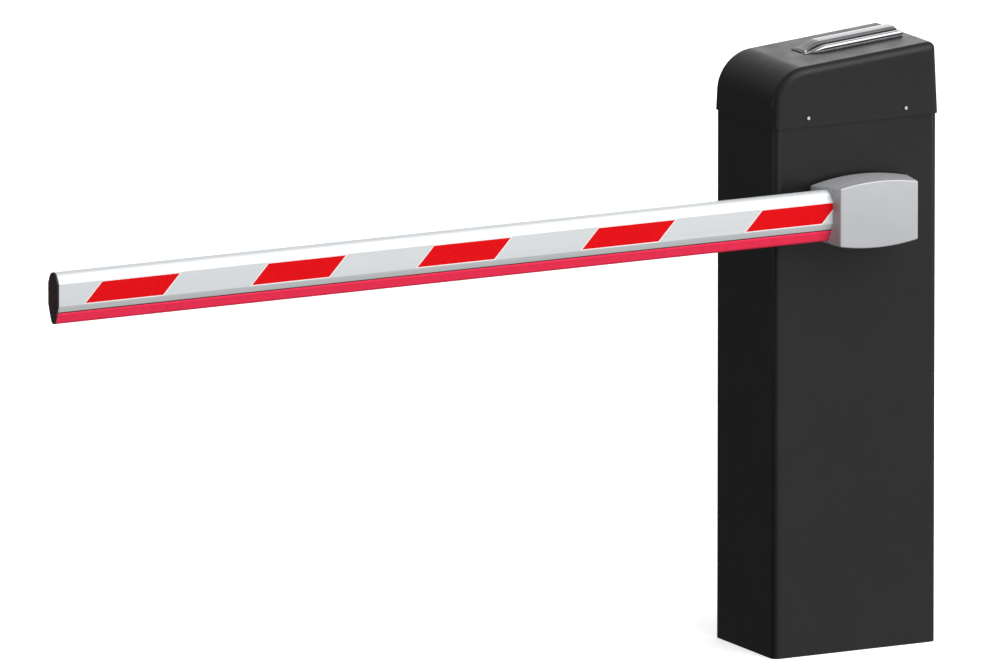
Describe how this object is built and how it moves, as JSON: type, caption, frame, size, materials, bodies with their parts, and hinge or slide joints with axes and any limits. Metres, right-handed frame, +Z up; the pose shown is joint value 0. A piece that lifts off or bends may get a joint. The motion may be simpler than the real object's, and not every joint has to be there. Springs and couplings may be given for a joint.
{
  "type": "parking barrier gate",
  "caption": "Parking barrier gate: black steel cabinet with service door, worm-geared drive, cast boom holder and a straight aluminium boom with a red rubber edge.",
  "frame": {"origin": "centre of the cabinet's base at ground level, which is the centre of the four anchor slots", "axes": "+X along the front face away from the boom, +Y from the boom side to the service door, +Z up"},
  "size_m": [1.743, 0.3043, 1.0675],
  "materials": {
    "coat": "black powder coat, fine texture",
    "zinc": "zinc plated",
    "steel": "bright steel",
    "spring": "blackened steel",
    "magnet": "coated magnet carrier",
    "laminations": "bare laminations",
    "winding": "enamelled copper and laminations",
    "bronze": "gear bronze",
    "chrome": "bright chrome plate",
    "cast": "silver painted casting",
    "motor_paint": "dark anodised",
    "extrusion": "matt anodised extrusion",
    "red_rubber": "matt red rubber",
    "sticker_film": "reflective film, white border",
    "black_plastic": "moulded",
    "black_rubber": "matt",
    "grey_plastic": "moulded",
    "supply_case": "pressed sheet",
    "breaker_plastic": "moulded",
    "board": "potted sensor on a bracket",
    "green_plastic": "moulded",
    "stop_plastic": "moulded",
    "yellow_plastic": "moulded"
  },
  "bodies": {
    "cabinet": {"cabinet_shell": "coat", "base_plate": "zinc", "mounting_rails": "zinc", "drive_plate": "zinc", "drive_plate_bolts": "steel", "door_frame": "coat", "door_seal": "black_rubber", "hinge_fixed_leaves": "steel", "hinge_pins": "steel", "front_seal_ring": "black_rubber", "hood": "coat", "hood_screws": "steel", "hood_handle": "chrome", "gearbox_housing": "cast", "gearbox_cover": "cast", "gearbox_bolts": "steel", "shaft_bearings": "steel", "worm_bearings": "steel", "motor_housing": "motor_paint", "motor_end_shield": "cast", "stator": "winding", "stop_buffers": "black_rubber", "position_sensor": "board", "balance_spring": "spring", "spring_anchor_bracket": "zinc", "tension_bolt": "steel", "tension_nuts": "zinc", "equipment_plate": "zinc", "control_box": "grey_plastic", "control_lid": "grey_plastic", "power_supply": "supply_case", "din_rail": "zinc", "circuit_breaker": "breaker_plastic", "terminal_blocks": "grey_plastic", "wiring_harness": "black_rubber"},
    "boom": {"main_shaft": "steel", "worm_wheel": "bronze", "spring_lever": "spring", "lever_pin": "steel", "magnet_disc": "magnet", "holder_body": "cast", "holder_cover": "cast", "holder_screws": "steel", "boom_profile": "extrusion", "bumper_strip": "red_rubber", "boom_end_cap": "black_plastic", "boom_stickers": "sticker_film"},
    "yoke": {"spring_yoke": "steel"},
    "worm_train": {"worm": "steel", "motor_shaft": "steel", "rotor": "laminations", "hand_wheel": "black_plastic"},
    "door": {"service_door": "coat", "hinge_door_leaves": "steel", "lock_housing": "steel"},
    "lock": {"lock_barrel": "steel"},
    "toggle": {"breaker_toggle": "black_plastic"},
    "open_key": {"open_button": "green_plastic"},
    "stop_key": {"stop_button": "stop_plastic"},
    "close_key": {"close_button": "yellow_plastic"}
  },
  "joints": [
    {"name": "boom_lift", "type": "hinge", "parent": "cabinet", "child": "boom", "pos_m": [0, 0, 0.783], "axis": [0, 1, 0], "range_deg": [0, 90], "deforming": ["balance_spring"]},
    {"name": "yoke_pivot", "type": "hinge", "parent": "boom", "child": "yoke", "pos_m": [0.06364, 0.052, 0.84664], "axis": [0, 1, 0], "range_deg": [-90, 0]},
    {"name": "worm_spin", "type": "hinge", "parent": "cabinet", "child": "worm_train", "pos_m": [-0.062, -0.022, 0.783], "axis": [0, 0, 1], "range_deg": [0, 3600]},
    {"name": "door_swing", "type": "hinge", "parent": "cabinet", "child": "door", "pos_m": [-0.131, 0.1105, 0.5], "axis": [0, 0, 1], "range_deg": [0, 110]},
    {"name": "lock_turn", "type": "hinge", "parent": "door", "child": "lock", "pos_m": [0.094, 0.1, 0.5], "axis": [0, -1, 0], "range_deg": [0, 90]},
    {"name": "breaker_switch", "type": "hinge", "parent": "cabinet", "child": "toggle", "pos_m": [0.06, -0.0115, 0.178], "axis": [-1, 0, 0], "range_deg": [0, 70]},
    {"name": "open_press", "type": "slide", "parent": "cabinet", "child": "open_key", "axis": [0, -1, 0], "range_m": [0, 0.0015], "stiffness_N_per_m": 300},
    {"name": "stop_press", "type": "slide", "parent": "cabinet", "child": "stop_key", "axis": [0, -1, 0], "range_m": [0, 0.0015], "stiffness_N_per_m": 300},
    {"name": "close_press", "type": "slide", "parent": "cabinet", "child": "close_key", "axis": [0, -1, 0], "range_m": [0, 0.0015], "stiffness_N_per_m": 300}
  ],
  "couplings": [
    {"joint": "yoke_pivot", "follows": "boom_lift", "ratio": -1},
    {"joint": "worm_spin", "follows": "boom_lift", "ratio": 40}
  ]
}
